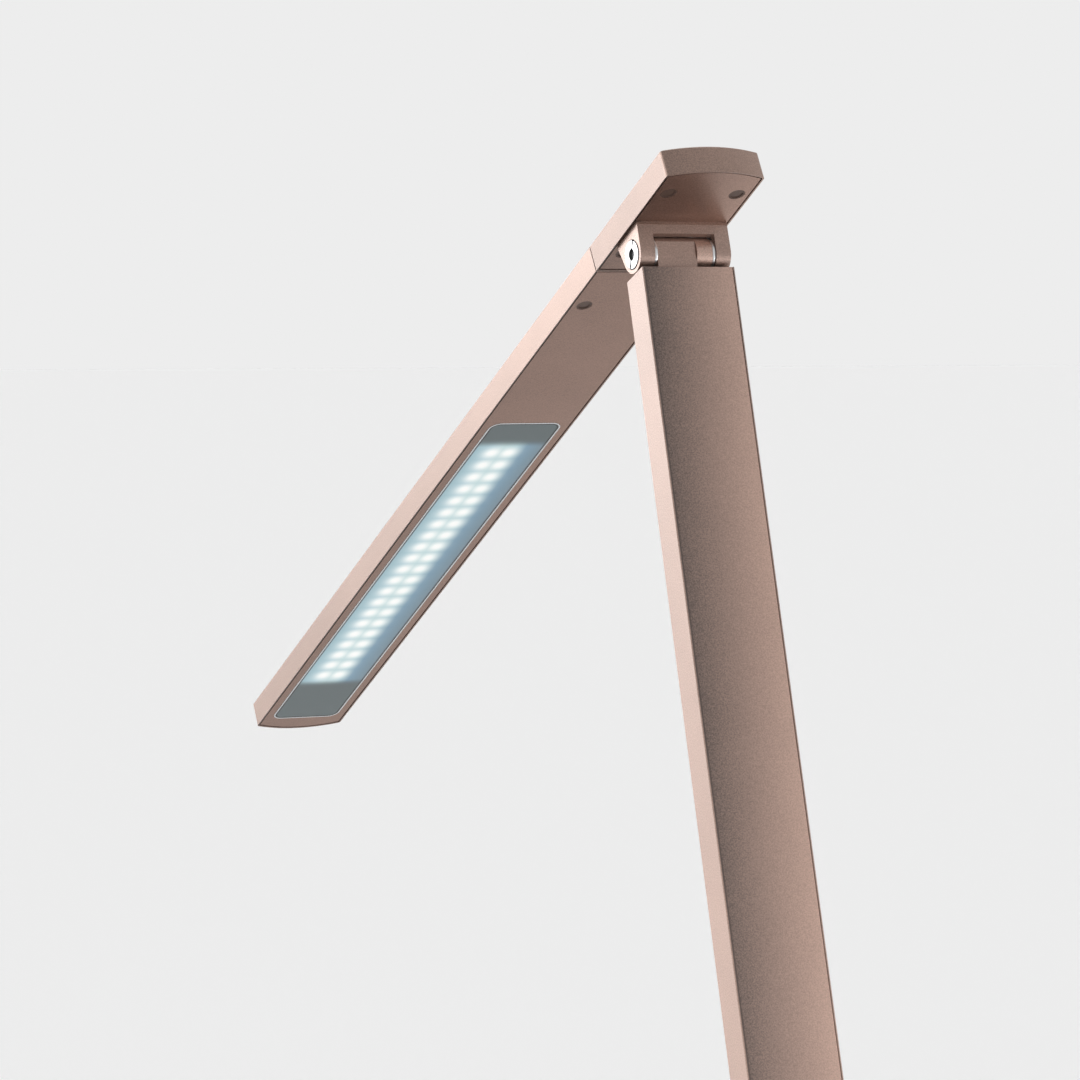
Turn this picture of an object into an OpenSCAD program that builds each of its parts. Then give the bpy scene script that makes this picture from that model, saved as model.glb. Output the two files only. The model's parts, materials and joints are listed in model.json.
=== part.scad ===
// Slim LED desk lamp: a flat light bar carried by a flat stem on a heavy base, with a friction
// hinge at each end of the stem. +Z is up, the light bar points toward -Y, the hinge pins lie
// along X, and the origin is the middle of the resting face under the base.

/* [Light bar] */
// Width of the light bar
bar_w = 40; // [38:1:50]
// Thickness of the light bar
bar_t = 11; // [10.5:0.5:15]
// Distance from the upper hinge pin to the front corners of the bar
bar_reach = 419; // [360:1:430]
// Distance from the upper hinge pin to the rear corners of the shoulder block
shoulder_back = 40; // [38:1:60]
// Distance from the upper hinge pin to the seam between shoulder block and light head
seam_reach = 26; // [24:1:34]
// Open seam between shoulder block and light head
seam_gap = 0.5; // [0.2:0.1:1]
// How far the middle of the front end bows out past its corners
tip_bulge = 4; // [1:0.5:8]
// How far the middle of the rear end bows out past its corners
rear_bulge = 3.4; // [1:0.2:6]
// Radius of the bar's upright corners
bar_corner = 1.6; // [1.4:0.1:4]
// Width of the bevel round the bar's top edge
bar_bevel = 0.6; // [0.2:0.1:1]
// Thickness of the bar's side walls
bar_wall = 1.6; // [1.2:0.1:2]
// Width of the rims that stand beside the bottom covers
bar_rim = 0.6; // [0.4:0.1:1]
// Thickness of the bar's top wall
bar_roof = 1.8; // [1.4:0.1:2.4]
// Thickness of the bottom covers
cover_t = 1.5; // [1:0.1:2]
// How far the bottom covers lie above the rims of the side walls
cover_inset = 0.15; // [0.1:0.05:0.8]
// Width of the open groove between cover and side wall
cover_groove = 0.5; // [0.2:0.05:0.6]

/* [Lens and LEDs] */
// Width of the lens that shows
lens_w = 30; // [26:0.5:31]
// Distance from the upper hinge pin to the rear edge of the lens
lens_start = 143; // [120:1:160]
// Distance from the upper hinge pin to the front edge of the lens
lens_end = 411.5; // [340:0.5:412]
// Radius of the lens corners
lens_corner = 4; // [2:0.5:8]
// Thickness of the hidden flange round the lens
flange_t = 0.8; // [0.6:0.1:1]
// Width of the bright rim round the lens
lens_rim = 0.7; // [0.4:0.1:1]
// Number of LED rows along the bar
led_rows = 21; // [6:1:25]
// Distance between LED rows
led_pitch = 10.1; // [8:0.1:10.5]
// Distance between the two LED columns
led_spread = 6.8; // [5:0.1:12]
// Distance from the rear edge of the lens to the first LED row
led_lead = 26; // [12:1:36]

/* [Stem] */
// Distance between the two hinge pins
stem_reach = 450; // [440:1:520]
// Width of the stem
stem_w = 38; // [37:1:46]
// Thickness of the stem
stem_t = 14; // [13:0.5:16]
// How far the stem's middle lies behind the hinge pins
stem_set = 0.6; // [0:0.1:1]
// Thickness of the stem's walls
stem_wall = 1.6; // [1.2:0.1:2]
// Width of the rims that stand beside the rear panel
stem_rim = 0.8; // [0.6:0.1:1]
// Thickness of the rear panel
panel_t = 1.6; // [1:0.1:1.8]
// How far the rear panel lies below the rims of the side walls
panel_inset = 0.15; // [0.1:0.05:0.6]
// Width of the open groove beside the rear panel
panel_groove = 0.15; // [0.1:0.05:0.6]
// Distance from the upper hinge pin down to the stem's top edge at the rear
stem_gap = 6.6; // [6:0.1:10]
// Slope of the stem's top end, lower at the front
stem_slant = 9.5; // [6:0.5:14]
// Distance from the lower hinge pin up to the stem's bottom edge
stem_start = 11; // [10:0.5:16]

/* [Hinges] */
// Diameter of both hinge pins
pin_d = 6; // [4:0.5:6.5]
// Diameter of the slotted pin heads
pin_head_d = 11; // [9:0.5:11.5]
// Width of the slots in the pin heads
slot_w = 1; // [0.6:0.1:1.6]
// Diameter of the round recess in the middle of the pin heads
recess_d = 4.4; // [3:0.2:5]
// Turn of the slots from upright at rest
slot_turn = -9; // [-45:1:45]
// Diameter of the round ends of the upper hinge ears
upper_knuckle_d = 14; // [13:0.5:14]
// Diameter of the round ends of the lower hinge ears
lower_knuckle_d = 16; // [14:0.5:18]
// Thickness of each hinge ear
ear_t = 6; // [5:0.5:7]
// Distance from the side of the stem to the outside of the ear
ear_inset = 0.4; // [0:0.1:1]
// Thickness of the friction washers
washer_t = 1.15; // [0.8:0.05:1.4]
// Distance from the upper hinge pin up to the underside of the bar
bar_rise = 8.7; // [8.6:0.1:11]
// Half the length of the upper ears where they meet the bar
upper_flare = 9; // [8:0.5:9]
// Half the length of the lower ears where they meet the base
lower_flare = 15; // [12:0.5:18]
// Distance from the top of the base up to the lower hinge pin
base_rise = 14; // [13:0.5:20]
// Thickness of the upper bracket's plate
bracket_t = 1.2; // [1:0.1:1.3]
// Thickness of the lower bracket's plate
fork_t = 3; // [3:0.5:4]
// Height of the lip behind the upper hinge
lip_h = 4.4; // [3:0.1:4.6]
// Width of the flat tongue in the upper hinge
tongue_w = 16.1; // [14:0.1:17]
// Running clearance of a hinge pin
pin_fit = 0.06; // [0.03:0.01:0.1]

/* [Screws and plugs] */
// Distance of the cover screws from the bar's centre line
screw_x = 14; // [13.8:0.1:14.5]
// Distance from the upper hinge pin back to the rear cover screws
rear_screw_y = 28; // [20:1:30]
// Distance from the upper hinge pin forward to the front shoulder screws
front_screw_y = 13.5; // [13:0.5:16]
// Distance from the upper hinge pin forward to the light head's screws
head_screw_y = 51.3; // [40:0.1:70]
// Diameter of the plugs over the cover screws
plug_d = 6.2; // [5.6:0.1:6.4]

/* [Base] */
// Width of the base
base_w = 190; // [170:1:240]
// Depth of the base between its corners
base_d = 160; // [150:1:200]
// Height of the base's top above the desk
base_h = 18; // [17:0.5:24]
// Radius of the base's upright corners
base_corner = 16; // [8:1:24]
// How far the base's front and rear edges bow out past the corners
base_bulge = 6; // [2:0.5:10]
// Thickness of the base cover's walls and top
base_wall = 2.2; // [1.8:0.1:3]
// Thickness of the soft pad under the base
pad_t = 1.2; // [1:0.1:2]
// Thickness of the base's floor plate
floor_t = 1.5; // [1.2:0.1:2]
// Thickness of the steel weight
weight_t = 8; // [6:0.5:8]
// Distance from the base's rear corners forward to the lower hinge pin
foot_inset = 44; // [36:1:60]
// Diameter of the power button
button_d = 18; // [12:1:24]
// Distance from the base's front corners back to the power button
button_inset = 34; // [26:1:40]
// Travel of the power button
button_travel = 1.2; // [0.6:0.1:1.4]
// Diameter of the power socket's bore
socket_d = 6.4; // [5:0.1:7]

/* [Pose] */
// Lean of the stem toward the front at rest
stem_lean = 16.1; // [10:0.1:20]
// Droop of the bar below the square to the stem at rest
bar_droop = 14.2; // [5:0.1:20]

/* [Hidden] */

$fn = 48;
// Overlap that makes a cut pass cleanly through a face
eps = 0.05;
// Clearance between a loose fixed piece and its seat
seat = 0.1;
// Clearance between a moving piece and what it passes
run = 0.3;

bar_top = bar_rise + bar_t;
roof_z = bar_top - bar_roof;
cover_z = bar_rise + cover_inset;
cover_top = cover_z + cover_t;
bar_half = bar_w / 2;
head_start = -seam_reach - seam_gap / 2;
shoulder_start = seam_reach - seam_gap / 2;
inner_corner = bar_corner - 0.8;

// Screw towers: the cover's tower meets the housing's post at this height
tower_top = bar_rise + 6;
tower_floor = 1.5;
tower_r = plug_d / 2 + 1.1;
post_r = 3.3;
screw_r = 1.4;
screw_head_r = 2.6;
screw_head_h = 1.6;
flat_head_h = 1.2;
plug_t = 1.6;
shoulder_screw_points = [for (x = [-1, 1], y = [rear_screw_y, -front_screw_y]) [x * screw_x, y]];
head_screw_points = [for (x = [-1, 1]) [x * screw_x, -head_screw_y]];

// Stack above the lens
flange = 0.4;
flange_top = cover_top + flange_t;
spreader_t = 1;
board_t = 1;
board_top = roof_z - spreader_t;
board_bottom = board_top - board_t;
board_half = lens_w / 2 + 0.5;
chip_w = 2.8;
chip_l = 3.5;
chip_t = 0.8;
frame_wall = 1.2;
stack_end = 2;

// Steel spine that ties shoulder block and light head together
spine_half = 9.5;
spine_t = 2;
spine_rear = 32;
spine_front = 96;
spine_z = roof_z - spine_t;
spine_points = [for (x = [-1, 1], y = [24, -40, -88]) [x * 5, y]];
lead_w = 4;
lead_t = 1.2;

// Hinge stack, from the middle outward
ear_out = stem_w / 2 - ear_inset;
ear_in = ear_out - ear_t;
washer_out = ear_in - seat;
washer_in = washer_out - washer_t;
hub_half = washer_in;
pin_r = pin_d / 2;
pin_head_r = pin_head_d / 2;
head_pocket = 1.1;
pin_proud = 0.3;
head_step = 0.35;
slot_depth = 0.7;
recess_depth = 1;
nut_pocket = ear_t - 2;
spring_t = 0.6;
nut_t = 2.6;
nut_flat = pin_d + 2;
hub_clear = 0.85;
upper_hub_r = bar_rise - bracket_t - hub_clear;
lower_hub_r = lower_knuckle_d / 2 - 0.4;
washer_r = upper_hub_r - 0.15;
lip_r = upper_hub_r + 0.5;
bracket_points = [for (x = [-1, 1], y = [-1, 1]) [x * 6.5, y * 4.5]];
bracket_post_r = 3.2;

// Stem section: the front wall faces -Y and the panel closes the rear
stem_half = stem_w / 2;
stem_back = stem_t / 2 + stem_set;
stem_front = stem_back - stem_t;
cavity_front = stem_front + stem_wall;
panel_back = stem_back - panel_inset;
panel_front = panel_back - panel_t;
cavity_half = stem_half - stem_wall;
stem_bevel = 0.5;
panel_half = stem_half - stem_rim - panel_groove;
tongue_back = panel_front - 0.25;
tongue_l = 46;
tongue_in = hub_half - tongue_w;
cap_t = 3;
cap_sink = 0.4;
tongue_screw_z = [-20, -36];
tongue_screw_x = [for (side = [-1, 1]) (hub_half + tongue_in) / 2 + side * 4];
foot_l = 52;
foot_screw_z = [24, 42];
foot_screw_x = [-6, 6];
stem_screw_r = 1.5;
stem_screw_head = 2.9;
stem_lead_d = 3;

// Base, from the desk upward
floor_top = pad_t + floor_t;
weight_top = floor_top + weight_t;
base_roof = base_h - base_wall;
base_half = base_w / 2;
base_end = base_d / 2;
base_bevel = 1.2;
pad_margin = 5;
weight_half = base_half - 17;
weight_end = base_end - 16;
base_screw_points = [for (x = [-1, 1], y = [-1, 1]) [x * (base_half - 10.5), y * (base_end - 24)]];
base_screw_l = base_h / 2;
base_screw_head_h = 0.6 * floor_t;
boss_r = 4;
foot_y = base_end - foot_inset;
button_y = base_end - button_inset;
fork_points = [for (x = [-1, 1], y = [-1, 1]) [x * 7.5, foot_y + y * 9.5]];
bolt_r = 2;
bolt_head_r = 3.5;
bolt_head_h = 2.8;
hinge_z = base_h + base_rise;
button_r = button_d / 2;
button_flange = 1.3;
button_flange_t = 1.1;
button_rise = 1.2;
bezel_w = 1.4;
bezel_lip = 1;
bezel_rise = 0.4;
board_pad_t = 0.6;
pcb_t = 1.2;
pcb_half = 22;
pcb_end = 13;
pcb_z = weight_top + board_pad_t;
button_low = base_roof - seat - button_flange_t;
switch_top = button_low - button_travel - seat;
socket_r = socket_d / 2;
socket_z = floor_top + 6.5;
socket_nose_r = 4.9;
socket_depth = 11;
socket_proud = 0.4;
rear_y = base_end + base_bulge;

// Points of an arc about centre c, leaving out the first point when skip is 1
function arc(c, r, a, b, n, skip = 0) =
    [for (i = [skip:n]) c + r * [cos(a + (b - a) * i / n), sin(a + (b - a) * i / n)]];

// Points round a bowed end that faces -Y, with its corners at y = -reach
function bowed_end(half, reach, bulge, corner, steps = 14) =
    let (r = (half * half + bulge * bulge) / (2 * bulge),
         c = [0, r - reach - bulge],
         d = [half - corner, c.y - sqrt(pow(r - corner, 2) - pow(half - corner, 2))],
         a = atan2(d.y - c.y, d.x))
    concat(arc(d, corner, 0, a, 5),
           arc(c, r, a, -180 - a, steps, 1),
           arc([-d.x, d.y], corner, -180 - a, -180, 5, 1));

// Point where a line from p touches the circle of radius r about the pin, on one side
function touch(p, r, side) =
    let (a = atan2(p.y, p.x) + side * acos(r / norm(p))) r * [cos(a), sin(a)];

// Points of an oblong with bevelled corners
function bevelled(half, low, high, bevel) =
    [[half - bevel, low], [half, low + bevel], [half, high - bevel], [half - bevel, high],
     [bevel - half, high], [-half, high - bevel], [-half, low + bevel], [bevel - half, low]];

// Height of the stem's sloping top end over a place across its thickness
function top_z(y) = stem_reach - stem_gap - (stem_back - y) * tan(stem_slant);

// Frames: the bar's frame has its origin on the upper pin, the stem's on the lower pin
module place_stem() {
    translate([0, foot_y, hinge_z]) rotate([stem_lean, 0, 0]) children();
}

module place_bar() {
    place_stem() translate([0, 0, stem_reach]) rotate([bar_droop, 0, 0]) children();
}

// A flat shape in Y and Z, drawn out along X
module along_x(from, to) {
    translate([from, 0, 0]) rotate([90, 0, 90]) linear_extrude(to - from) children();
}

module rod_x(from, to, r) {
    translate([from, 0, 0]) rotate([0, 90, 0]) cylinder(h = to - from, r = r);
}

module both_sides() {
    children();
    mirror([1, 0, 0]) children();
}

module block(low, high) {
    translate(low) cube(high - low);
}

module post(p, low, high, r) {
    translate([p.x, p.y, low]) cylinder(h = high - low, r = r);
}

// Screw pointing up from z, with its head below z
module screw_up(p, z, head_r, head_h, r, l) {
    difference() {
        union() {
            post(p, z - head_h, z, head_r);
            post(p, z - eps, z + l, r);
        }
        translate([p.x - head_r, p.y - 0.4, z - head_h - eps]) cube([2 * head_r, 0.8, 0.7]);
    }
}

// Plan of one length of the bar: straight across at start, bowed at its far end
module bar_plan(half, start, reach, bulge, corner) {
    polygon(concat(bowed_end(half, reach, bulge, corner), [[-half, start], [half, start]]));
}

// Hollow housing of one length of the bar, open below, with a rebate for its cover
module bar_housing(start, reach, bulge, points) {
    difference() {
        union() {
            difference() {
                translate([0, 0, bar_rise]) hull() {
                    linear_extrude(bar_t - bar_bevel)
                        bar_plan(bar_half, start, reach, bulge, bar_corner);
                    linear_extrude(bar_t)
                        bar_plan(bar_half - bar_bevel, start - bar_bevel / 2, reach - bar_bevel,
                                 bulge, bar_corner);
                }
                translate([0, 0, bar_rise - eps]) linear_extrude(bar_t - bar_roof + eps)
                    bar_plan(bar_half - bar_wall, start - bar_wall, reach - bar_wall,
                             bulge, inner_corner);
                // Rebate that the cover lies in
                translate([0, 0, bar_rise - eps]) linear_extrude(cover_top - bar_rise + eps)
                    bar_plan(bar_half - bar_rim, start - bar_rim, reach - bar_rim,
                             bulge, bar_corner - bar_rim);
            }
            for (p = points) post(p, tower_top, roof_z + eps, post_r);
        }
        for (p = points) post(p, tower_top - eps, roof_z + 0.4, screw_r);
        // Slots in the end wall that the spine and the lead run through
        block([-spine_half - seat, start - bar_wall - 1, spine_z - seat],
              [spine_half + seat, start + 1, roof_z]);
        block([-lead_w / 2 - seat, start - bar_wall - 1, spine_z - lead_t - 2 * seat],
              [lead_w / 2 + seat, start + 1, spine_z]);
    }
}

// Flat cover between the side walls, with a tower at each screw
module bar_cover(start, reach, bulge, points) {
    gap = bar_rim + cover_groove;
    difference() {
        union() {
            translate([0, 0, cover_z]) linear_extrude(cover_t)
                bar_plan(bar_half - gap, start - gap, reach - gap, bulge, inner_corner);
            for (p = points) post(p, cover_z, tower_top, tower_r);
        }
        for (p = points) {
            post(p, cover_z - eps, tower_top - tower_floor, plug_d / 2);
            post(p, cover_z, tower_top + eps, screw_r + seat);
        }
    }
}

// Rounded oblong in the plan of the bar, grown past the lens by a margin
module lens_plan(margin) {
    r = lens_corner + margin;
    half = lens_w / 2 + margin;
    near = -lens_start + margin;
    far = -lens_end - margin;
    translate([-half, far + r]) square([2 * half, near - far - 2 * r]);
    translate([-half + r, far]) square([2 * (half - r), near - far]);
    for (x = [-1, 1], y = [near - r, far + r]) translate([x * (half - r), y]) circle(r = r);
}

module head_housing() color([0.62, 0.47, 0.41]) place_bar() {
    bar_housing(head_start, bar_reach, tip_bulge, head_screw_points);
}

module head_cover() color([0.58, 0.44, 0.38]) place_bar() {
    difference() {
        bar_cover(head_start, bar_reach, tip_bulge, head_screw_points);
        translate([0, 0, cover_z - eps]) linear_extrude(cover_t + 2 * eps) lens_plan(lens_rim);
    }
}

module lens_bezel() color([0.85, 0.85, 0.86]) place_bar() {
    translate([0, 0, cover_z - 0.15]) linear_extrude(cover_t + 0.15) difference() {
        lens_plan(lens_rim - 0.05);
        lens_plan(0);
    }
}

module lens_diffuser() color([0.55, 0.62, 0.68]) place_bar() {
    translate([0, 0, cover_z - 0.05]) linear_extrude(cover_t + 0.05) lens_plan(-0.05);
    translate([0, 0, cover_top]) linear_extrude(flange_t) lens_plan(lens_rim + flange);
}

module reflector_frame() color([0.9, 0.9, 0.9]) place_bar() {
    translate([0, 0, flange_top]) linear_extrude(board_bottom - flange_top) difference() {
        lens_plan(0.5);
        lens_plan(0.5 - frame_wall);
    }
}

module led_board() color([0.9, 0.9, 0.88]) place_bar() {
    block([-board_half, -lens_end - 0.5, board_bottom], [board_half, -lens_start + stack_end, board_top]);
}

module led_chips() color([0.95, 0.9, 0.55]) place_bar() {
    for (i = [0:led_rows - 1], x = [-1, 1])
        translate([x * led_spread / 2 - chip_w / 2,
                   -lens_start - led_lead - i * led_pitch - chip_l / 2,
                   board_bottom - chip_t])
            cube([chip_w, chip_l, chip_t]);
}

module heat_spreader() color([0.75, 0.76, 0.78]) place_bar() {
    block([-board_half, -lens_end - 0.5, board_top], [board_half, -spine_front - seat, roof_z]);
}

module shoulder_housing() color([0.62, 0.47, 0.41]) place_bar() {
    mirror([0, 1, 0]) bar_housing(shoulder_start, shoulder_back, rear_bulge,
                                  [for (p = shoulder_screw_points) [p.x, -p.y]]);
}

module shoulder_cover() color([0.4, 0.31, 0.27]) place_bar() {
    difference() {
        mirror([0, 1, 0]) bar_cover(shoulder_start, shoulder_back, rear_bulge,
                                    [for (p = shoulder_screw_points) [p.x, -p.y]]);
        for (p = bracket_points) post(p, cover_z - eps, cover_top + eps, bracket_post_r + seat);
    }
}

module spine_bar() color([0.6, 0.62, 0.64]) place_bar() {
    difference() {
        block([-spine_half, -spine_front, spine_z], [spine_half, spine_rear, roof_z]);
        for (p = spine_points) post(p, spine_z - eps, roof_z + eps, screw_r + seat);
        for (p = bracket_points) post(p, spine_z - eps, roof_z - 0.3, screw_r);
    }
}

module spine_screws() color([0.7, 0.7, 0.7]) place_bar() {
    for (p = spine_points) screw_up(p, spine_z, screw_head_r, flat_head_h, screw_r, spine_t);
}

module head_screws() color([0.7, 0.7, 0.7]) place_bar() {
    for (p = head_screw_points)
        screw_up(p, tower_top - tower_floor, screw_head_r, screw_head_h, screw_r - 0.02,
                 roof_z - tower_top + tower_floor);
}

module shoulder_screws() color([0.7, 0.7, 0.7]) place_bar() {
    for (p = shoulder_screw_points)
        screw_up(p, tower_top - tower_floor, screw_head_r, screw_head_h, screw_r - 0.02,
                 roof_z - tower_top + tower_floor);
}

// Soft plug with a raised rim, pressed over a screw
module cover_plug(p) {
    difference() {
        post(p, cover_z + 0.1, cover_z + 0.1 + plug_t, plug_d / 2 - 0.05);
        post(p, cover_z - eps, cover_z + 0.35, plug_d / 2 - 0.7);
    }
}

module head_plugs() color([0.3, 0.23, 0.2]) place_bar() {
    for (p = head_screw_points) cover_plug(p);
}

module shoulder_plugs() color([0.3, 0.23, 0.2]) place_bar() {
    for (p = shoulder_screw_points) cover_plug(p);
}

// Flat lead from the hinge to the LED board, under the spine
module bar_lead() color([0.15, 0.15, 0.15]) place_bar() {
    block([-lead_w / 2, -lens_start + stack_end + seat, spine_z - seat - lead_t],
          [lead_w / 2, -upper_flare - 4, spine_z - seat]);
}

// Flat outline of one hinge ear: round at the pin, widening to its foot at z = rise
module ear_outline(r, rise, half_foot) {
    circle(r = r);
    polygon([touch([half_foot, rise], r, -1), [half_foot, rise], [-half_foot, rise],
             touch([-half_foot, rise], r, 1), [0, 0]]);
}

// Two ears and the plate that joins them, bored for the pin, its head and its nut
module hinge_cheeks(r, rise, half_foot, plate) {
    difference() {
        union() {
            both_sides() along_x(ear_in, ear_out) ear_outline(r, rise, half_foot);
            block([-ear_out, -half_foot, rise - plate], [ear_out, half_foot, rise]);
        }
        rod_x(-ear_out - eps, ear_out + eps, pin_r + 0.03);
        rod_x(ear_out - head_pocket, ear_out + eps, pin_head_r + seat);
        rod_x(-ear_out - eps, -ear_out + nut_pocket, pin_head_r + seat);
    }
}

// Pin with a slotted head at +X, whose slot is turned from upright
module hinge_pin(turn) {
    face = ear_out + pin_proud;
    difference() {
        union() {
            rod_x(-ear_out + 0.3, ear_out - head_pocket + eps, pin_r);
            rod_x(ear_out - head_pocket, face - head_step, pin_head_r);
            rod_x(ear_out - head_pocket, face, pin_head_r - head_step);
        }
        rotate([turn, 0, 0])
            block([face - slot_depth, -slot_w / 2, -pin_head_r - 1],
                  [face + eps, slot_w / 2, pin_head_r + 1]);
        rod_x(face - recess_depth, face + eps, recess_d / 2);
    }
}

// Two dished spring washers under the nut
module spring_washers() {
    floor_x = -ear_out + nut_pocket;
    for (i = [0, 1])
        translate([floor_x - i * spring_t, 0, 0]) rotate([0, -90, 0]) rotate_extrude()
            polygon([[pin_r + 0.1, 0.2], [pin_head_r - 0.6, 0], [pin_head_r - 0.6, spring_t - 0.2],
                     [pin_r + 0.1, spring_t]]);
}

module lock_nut() {
    nut_x = -ear_out + nut_pocket - 2 * spring_t;
    translate([nut_x, 0, 0]) rotate([0, -90, 0]) difference() {
        cylinder(h = nut_t, r = nut_flat / sqrt(3), $fn = 6);
        translate([0, 0, -eps]) cylinder(h = nut_t + 2 * eps, r = pin_r + 0.02);
    }
}

module friction_washers() {
    both_sides() difference() {
        rod_x(washer_in, washer_out, washer_r);
        rod_x(washer_in - eps, washer_out + eps, pin_r + pin_fit);
    }
}

module hinge_bracket() color([0.56, 0.43, 0.38]) place_bar() {
    difference() {
        union() {
            hinge_cheeks(upper_knuckle_d / 2, bar_rise, upper_flare, bracket_t);
            // Lip that closes the gap behind the tongue
            along_x(-ear_in - eps, ear_in + eps) intersection() {
                difference() {
                    ear_outline(upper_knuckle_d / 2, bar_rise, upper_flare);
                    circle(r = lip_r);
                }
                translate([0, bar_rise - lip_h]) square([upper_flare + 1, lip_h]);
            }
            for (p = bracket_points) post(p, bar_rise - eps, spine_z, bracket_post_r);
            // Pad that fills the cover's inset
            block([-ear_out + 2, -upper_flare, bar_rise - eps], [ear_out - 2, upper_flare, cover_z]);
        }
        for (p = bracket_points) {
            post(p, bar_rise - bracket_t - eps, spine_z + eps, screw_r + seat);
            post(p, bar_rise - bracket_t - eps, bar_rise, screw_head_r + 0.2);
        }
    }
}

module bracket_screws() color([0.75, 0.75, 0.76]) place_bar() {
    for (p = bracket_points)
        screw_up(p, bar_rise, screw_head_r, bracket_t, screw_r, roof_z - 0.4 - bar_rise);
}

module upper_pin() color([0.85, 0.85, 0.87]) place_bar() {
    hinge_pin(slot_turn - stem_lean - bar_droop);
}

module upper_spring_washers() color([0.7, 0.7, 0.72]) place_bar() {
    spring_washers();
}

module upper_nut() color([0.8, 0.8, 0.82]) place_bar() {
    lock_nut();
}

module upper_washers() color([0.85, 0.85, 0.86]) place_stem() {
    translate([0, 0, stem_reach]) friction_washers();
}

// Hub on a pin with a flat leg that runs into the stem, drawn with the pin at the origin
module hub_leg(from, to, r, leg, screw_x_list, screw_z_list) {
    difference() {
        along_x(from, to) {
            translate([cavity_front, min(0, leg)])
                square([tongue_back - cavity_front, abs(leg)]);
            // The hub is flat behind, level with the leg
            intersection() {
                circle(r = r);
                translate([-r, -r]) square([r + tongue_back, 2 * r]);
            }
        }
        rod_x(from - eps, to + eps, pin_r + pin_fit);
        for (x = screw_x_list, z = screw_z_list) {
            translate([x, tongue_back + eps, z]) rotate([90, 0, 0])
                cylinder(h = tongue_back - cavity_front + 2 * eps, r = stem_screw_r + seat);
            translate([x, tongue_back + eps, z]) rotate([90, 0, 0])
                cylinder(h = 2, r = stem_screw_head + seat);
        }
    }
}

// Screw that runs forward through a leg into the stem's front wall
module leg_screw(x, z) {
    translate([x, tongue_back - 0.1, z]) rotate([90, 0, 0]) difference() {
        union() {
            cylinder(h = 1.85, r = stem_screw_head);
            cylinder(h = tongue_back - stem_front - 0.6, r = stem_screw_r);
        }
        translate([-stem_screw_head, -0.4, -eps]) cube([2 * stem_screw_head, 0.8, 0.8]);
    }
}

module hinge_tongue() color([0.55, 0.42, 0.37]) place_stem() {
    translate([0, 0, stem_reach])
        hub_leg(tongue_in, hub_half, upper_hub_r, -tongue_l, tongue_screw_x, tongue_screw_z);
}

// Round sleeve that fills the rest of the hinge beside the tongue
module friction_barrel() color([0.5, 0.4, 0.36]) place_stem() {
    translate([0, 0, stem_reach]) difference() {
        rod_x(-hub_half, tongue_in - seat, upper_hub_r - 0.2);
        rod_x(-hub_half - eps, tongue_in, pin_r + pin_fit);
    }
}

module tongue_screws() color([0.75, 0.75, 0.76]) place_stem() {
    for (x = tongue_screw_x, z = tongue_screw_z) leg_screw(x, stem_reach + z);
}

// Everything above the stem's sloping top end
module above_top() {
    along_x(-stem_half - 1, stem_half + 1)
        polygon([[stem_back + 1, top_z(stem_back + 1)], [stem_front - 1, top_z(stem_front - 1)],
                 [stem_front - 1, stem_reach + 20], [stem_back + 1, stem_reach + 20]]);
}

module stem_channel() color([0.64, 0.5, 0.44]) place_stem() {
    difference() {
        translate([0, 0, stem_start]) linear_extrude(stem_reach - stem_start) difference() {
            polygon(bevelled(stem_half, stem_front, stem_back, stem_bevel));
            translate([-cavity_half, cavity_front]) square([2 * cavity_half, stem_t]);
            // Rebate that the rear panel lies in
            translate([-stem_half + stem_rim, panel_front])
                square([2 * (stem_half - stem_rim), stem_t]);
        }
        above_top();
        for (x = tongue_screw_x, z = tongue_screw_z) screw_hole(x, stem_reach + z);
        for (x = foot_screw_x, z = foot_screw_z) screw_hole(x, z);
    }
}

// Threaded hole in the stem's front wall
module screw_hole(x, z) {
    translate([x, cavity_front + eps, z]) rotate([90, 0, 0])
        cylinder(h = stem_wall - 0.5 + eps, r = stem_screw_r + 0.02);
}

module stem_back_panel() color([0.55, 0.42, 0.37]) place_stem() {
    difference() {
        block([-panel_half, panel_front, stem_start], [panel_half, panel_back, stem_reach]);
        above_top();
    }
}

// Small blocks that close the stem's ends beside the legs
module stem_caps() color([0.2, 0.17, 0.16]) place_stem() {
    cap_back = panel_front - seat;
    top_low = top_z(stem_front) - cap_t;
    bottom_low = stem_start + cap_sink;
    difference() {
        union() {
            block([hub_half + seat, cavity_front, top_low], [cavity_half, cap_back, stem_reach]);
            block([-cavity_half, cavity_front, top_low], [tongue_in - seat, cap_back, stem_reach]);
        }
        translate([0, 0, -cap_sink]) above_top();
        lead_hole(top_low - 1, stem_reach);
    }
    difference() {
        both_sides() block([hub_half + seat, cavity_front, bottom_low],
                           [cavity_half, cap_back, bottom_low + cap_t]);
        lead_hole(stem_start, bottom_low + cap_t + 1);
    }
}

module lead_hole(low, high) {
    post([-(hub_half + cavity_half) / 2, cavity_front + stem_lead_d / 2 + 0.2], low, high,
         stem_lead_d / 2 + seat);
}

// Round lead that the stem holds from end to end
module stem_lead() color([0.12, 0.12, 0.12]) place_stem() {
    post([-(hub_half + cavity_half) / 2, cavity_front + stem_lead_d / 2 + 0.2],
         stem_start + cap_sink, top_z(stem_front) - cap_sink, stem_lead_d / 2);
}

module stem_foot() color([0.55, 0.42, 0.37]) place_stem() {
    hub_leg(-hub_half, hub_half, lower_hub_r, foot_l, foot_screw_x, foot_screw_z);
}

module foot_screws() color([0.75, 0.75, 0.76]) place_stem() {
    for (x = foot_screw_x, z = foot_screw_z) leg_screw(x, z);
}

module lower_washers() color([0.85, 0.85, 0.86]) place_stem() {
    friction_washers();
}

module at_lower_pin() {
    translate([0, foot_y, hinge_z]) children();
}

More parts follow.
